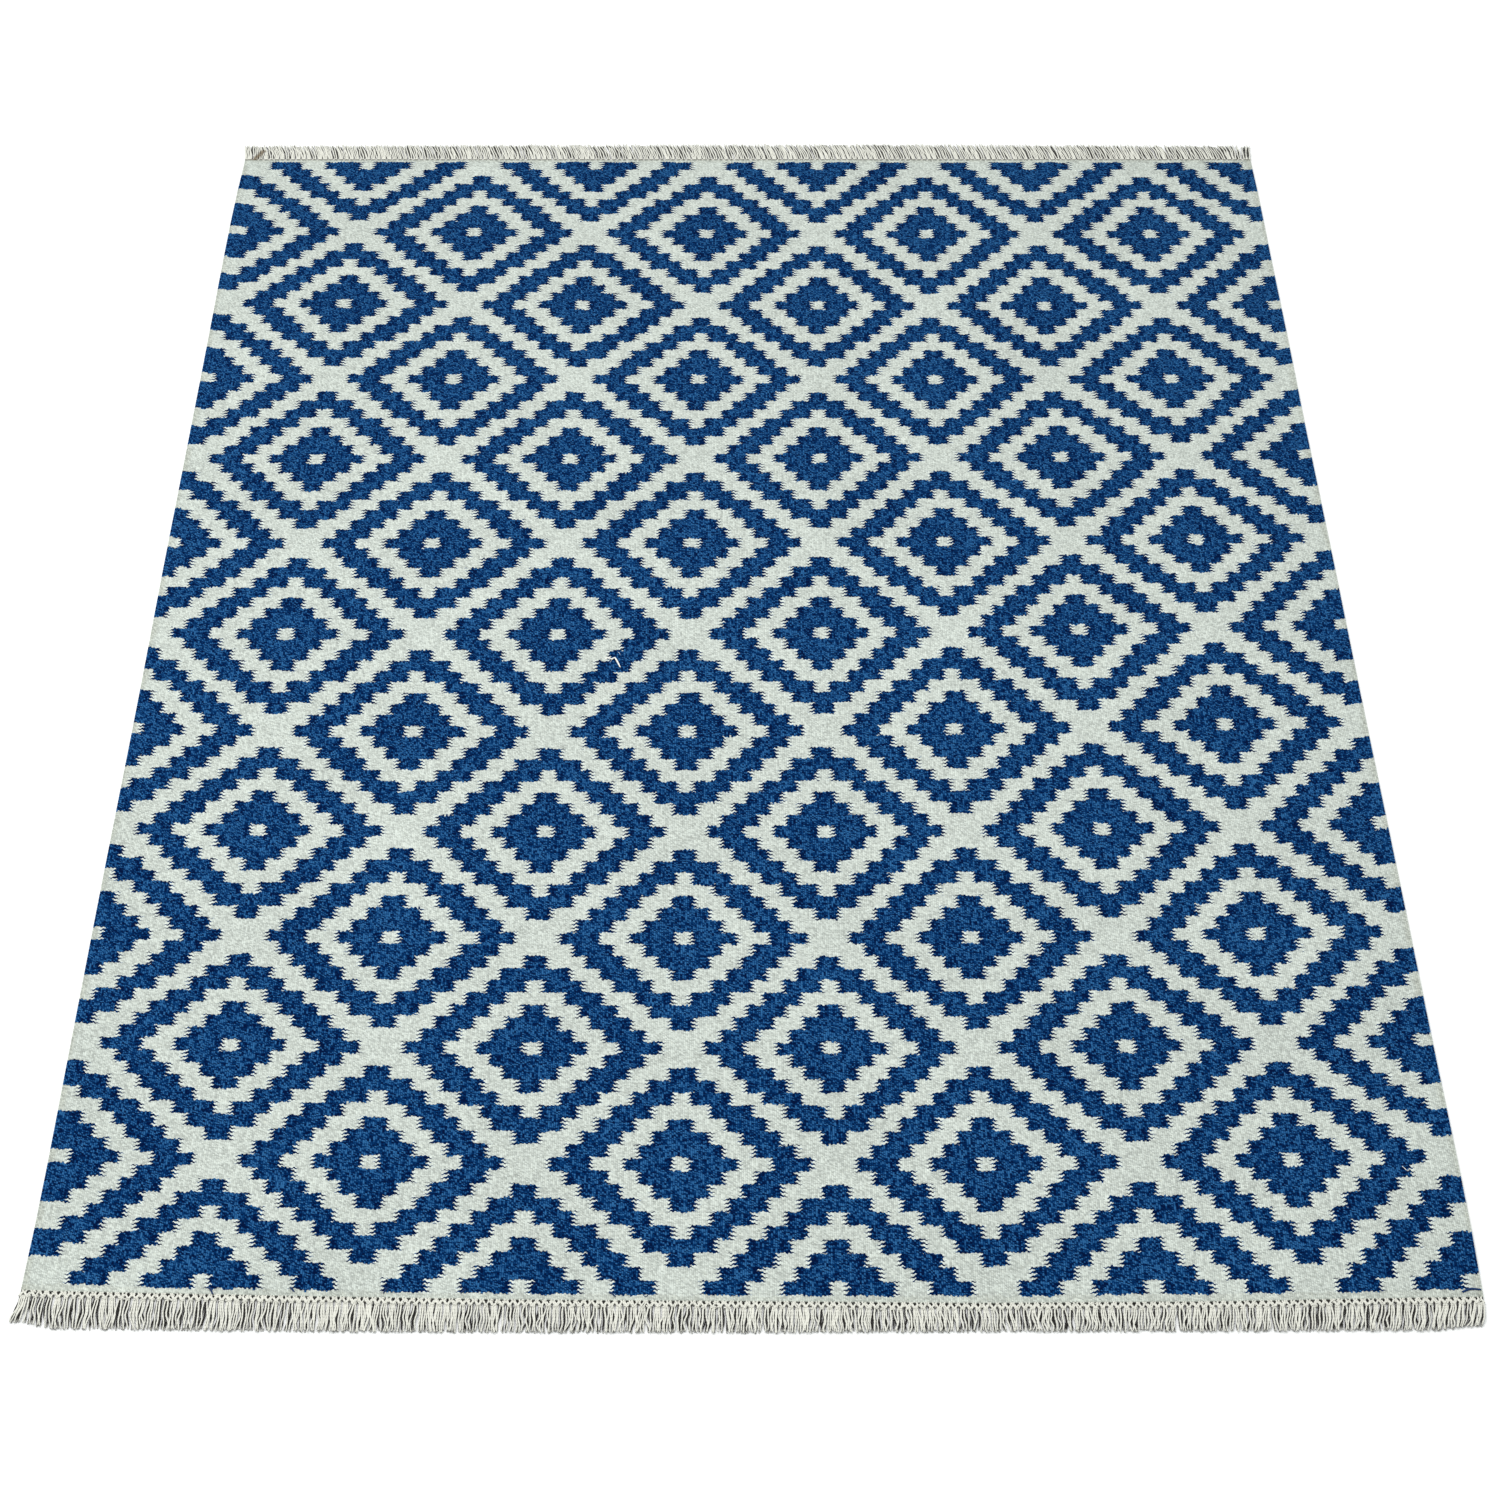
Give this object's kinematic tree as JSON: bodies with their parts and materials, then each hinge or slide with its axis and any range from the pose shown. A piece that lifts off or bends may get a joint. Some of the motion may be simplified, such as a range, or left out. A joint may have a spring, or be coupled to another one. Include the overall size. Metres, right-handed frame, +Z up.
{
  "type": "flat-woven rug",
  "caption": "Rectangular flat-woven rug with a repeat of nested stepped diamonds, plain selvedges and a knotted fringe at each short end, lying flat on the floor.",
  "frame": {"origin": "on the floor, under the middle of the rug's box", "axes": "+Z up, +Y along the rug's length to its back end, +X across it to the right as seen from the front end"},
  "size_m": [1.6103, 2.3214, 0.0052],
  "materials": {
    "cloth": "matt weft-faced cotton, off-white with mid-blue stepped diamonds woven in",
    "fringe_yarn": "matt twisted cotton warp, greyish off-white"
  },
  "bodies": {
    "root": {"woven_field": "cloth", "front_fringe": "fringe_yarn", "back_fringe": "fringe_yarn"}
  },
  "joints": []
}
